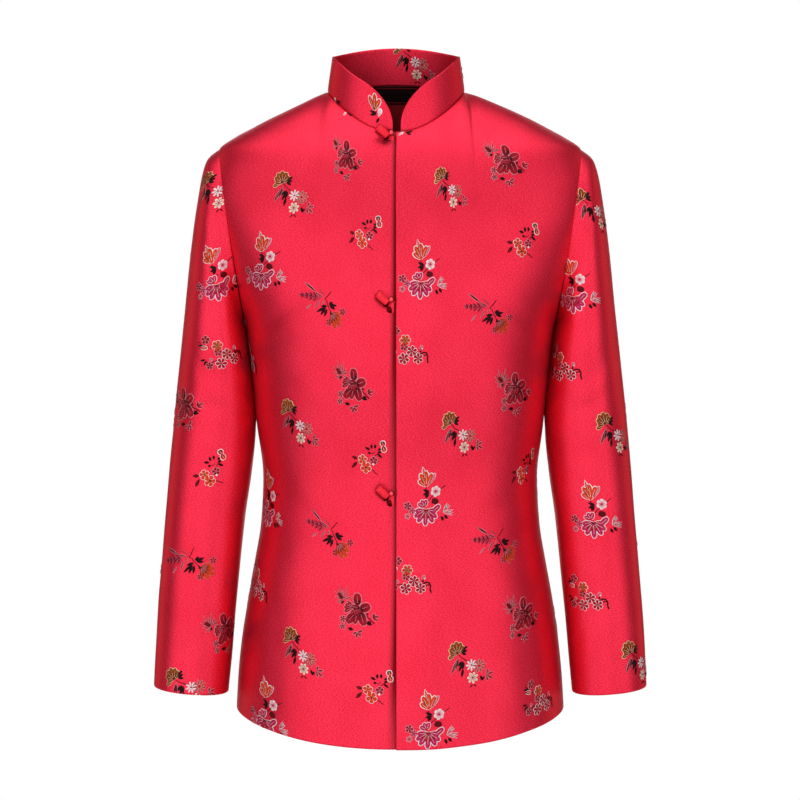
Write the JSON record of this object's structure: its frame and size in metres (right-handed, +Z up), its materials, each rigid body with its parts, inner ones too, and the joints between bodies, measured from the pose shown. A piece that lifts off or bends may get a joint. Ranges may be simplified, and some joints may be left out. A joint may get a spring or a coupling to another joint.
{
  "type": "tang jacket",
  "caption": "Women's stand-collar Tang jacket in red flower brocade, with long set-in sleeves and knot buttons, filled out as worn and open at neck, hem and cuffs.",
  "frame": {"origin": "middle of the neck at the level where the shoulder seams meet the collar, where the wearer's shoulders and neck hold the jacket", "axes": "+Z up along the wearer, +X to the wearer's left, -Y forwards, so the front opening faces -Y"},
  "size_m": [0.5432, 0.2504, 0.7491],
  "materials": {
    "brocade": "red satin-ground brocade with small woven flower sprays in many colours",
    "knot_cord": "red satin cord, rolled and knotted",
    "label_cloth": "black woven label, left plain"
  },
  "bodies": {
    "root": {"front_right": "brocade", "front_left": "brocade", "back": "brocade", "sleeve_right": "brocade", "sleeve_left": "brocade", "collar": "brocade", "neck_label": "label_cloth", "knot_button_1": "knot_cord", "knot_button_2": "knot_cord", "knot_button_3": "knot_cord", "button_loop_1": "knot_cord", "button_loop_2": "knot_cord", "button_loop_3": "knot_cord"}
  },
  "joints": []
}
